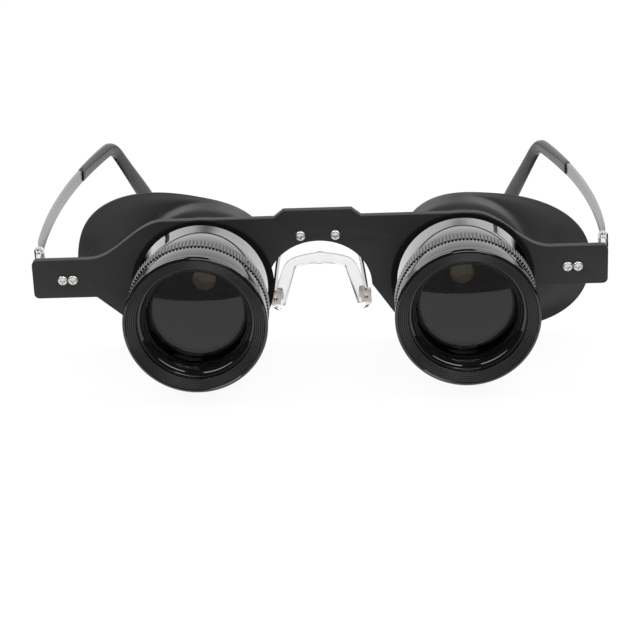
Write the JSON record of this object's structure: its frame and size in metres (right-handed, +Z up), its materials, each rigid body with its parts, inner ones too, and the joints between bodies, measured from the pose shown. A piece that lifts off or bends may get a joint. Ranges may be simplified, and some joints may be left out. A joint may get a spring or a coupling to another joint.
{
  "type": "binocular spectacles",
  "caption": "Spectacle frame that carries two small knurled-focus telescopes with winged rubber eye cups, a clear nose saddle and folding temples.",
  "frame": {"origin": "centre of the object's box in X and Y, on the surface that the temple tips stand on", "axes": "+Z up, the front lenses face -Y, the temples run to +Y, +X is the wearer's left"},
  "size_m": [0.1498, 0.147, 0.0416],
  "materials": {
    "matte_black_plastic": "fine moulded matte",
    "gloss_black_plastic": "polished black",
    "satin_black_plastic": "satin, finely turned",
    "black_rubber": "soft moulded rubber",
    "clear_silicone": "clear soft silicone",
    "nickel_steel": "bright nickel plate",
    "temple_steel": "satin steel strip",
    "washer_plastic": "plain moulded",
    "coated_glass": "coated optical glass"
  },
  "bodies": {
    "frame": {"front_plate": "matte_black_plastic", "bridge_bracket": "nickel_steel", "bridge_screws": "nickel_steel", "left_pad_arm": "nickel_steel", "right_pad_arm": "nickel_steel", "left_pad_box": "nickel_steel", "right_pad_box": "nickel_steel", "pad_screws": "nickel_steel", "nose_saddle": "clear_silicone", "left_hinge_bracket": "nickel_steel", "right_hinge_bracket": "nickel_steel", "left_end_screws": "nickel_steel", "right_end_screws": "nickel_steel", "left_hinge_pin": "nickel_steel", "right_hinge_pin": "nickel_steel"},
    "left_temple": {"left_temple_arm": "temple_steel", "left_temple_sleeve": "black_rubber"},
    "right_temple": {"right_temple_arm": "temple_steel", "right_temple_sleeve": "black_rubber"},
    "left_telescope": {"left_rear_housing": "gloss_black_plastic", "left_slide_washer": "washer_plastic", "left_clamp_ring": "satin_black_plastic", "left_eye_lens": "coated_glass", "left_eye_lens_ring": "satin_black_plastic"},
    "right_telescope": {"right_rear_housing": "gloss_black_plastic", "right_slide_washer": "washer_plastic", "right_clamp_ring": "satin_black_plastic", "right_eye_lens": "coated_glass", "right_eye_lens_ring": "satin_black_plastic"},
    "left_cup": {"left_eye_cup": "black_rubber"},
    "right_cup": {"right_eye_cup": "black_rubber"},
    "left_focus": {"left_focus_ring": "gloss_black_plastic"},
    "right_focus": {"right_focus_ring": "gloss_black_plastic"},
    "left_objective": {"left_objective_tube": "gloss_black_plastic", "left_front_ring": "satin_black_plastic", "left_front_lens": "coated_glass", "left_lens_retainer": "gloss_black_plastic"},
    "right_objective": {"right_objective_tube": "gloss_black_plastic", "right_front_ring": "satin_black_plastic", "right_front_lens": "coated_glass", "right_lens_retainer": "gloss_black_plastic"}
  },
  "joints": [
    {"name": "left_slide", "type": "slide", "parent": "frame", "child": "left_telescope", "axis": [1, 0, 0], "range_m": [-0.0073, 0.0007]},
    {"name": "right_slide", "type": "slide", "parent": "frame", "child": "right_telescope", "axis": [-1, 0, 0], "range_m": [-0.0007, 0.0073]},
    {"name": "left_cup_turn", "type": "hinge", "parent": "left_telescope", "child": "left_cup", "pos_m": [0.0363, -0.0395, 0.02031], "axis": [0, -1, 0], "range_deg": [-10, 20]},
    {"name": "right_cup_turn", "type": "hinge", "parent": "right_telescope", "child": "right_cup", "pos_m": [-0.0297, -0.0395, 0.02031], "axis": [0, 1, 0], "range_deg": [-27, 3]},
    {"name": "left_focus_turn", "type": "hinge", "parent": "left_telescope", "child": "left_focus", "pos_m": [0.0363, -0.0624, 0.02031], "axis": [0, -1, 0], "range_deg": [0, 270]},
    {"name": "right_focus_turn", "type": "hinge", "parent": "right_telescope", "child": "right_focus", "pos_m": [-0.0297, -0.0624, 0.02031], "axis": [0, -1, 0], "range_deg": [0, 270]},
    {"name": "left_focus_travel", "type": "slide", "parent": "left_focus", "child": "left_objective", "axis": [0, -1, 0], "range_m": [0, 0.003]},
    {"name": "right_focus_travel", "type": "slide", "parent": "right_focus", "child": "right_objective", "axis": [0, -1, 0], "range_m": [0, 0.003]},
    {"name": "left_temple_fold", "type": "hinge", "parent": "frame", "child": "left_temple", "pos_m": [0.0735, -0.02928, 0.02371], "axis": [-0.0349, 0, 0.9994], "range_deg": [0, 80]},
    {"name": "right_temple_fold", "type": "hinge", "parent": "frame", "child": "right_temple", "pos_m": [-0.0735, -0.02928, 0.02371], "axis": [0.0349, 0, -0.9994], "range_deg": [0, 72]}
  ],
  "couplings": [
    {"joint": "left_focus_travel", "follows": "left_focus_turn", "m_per_rad": 0.0006366},
    {"joint": "right_focus_travel", "follows": "right_focus_turn", "m_per_rad": 0.0006366}
  ]
}
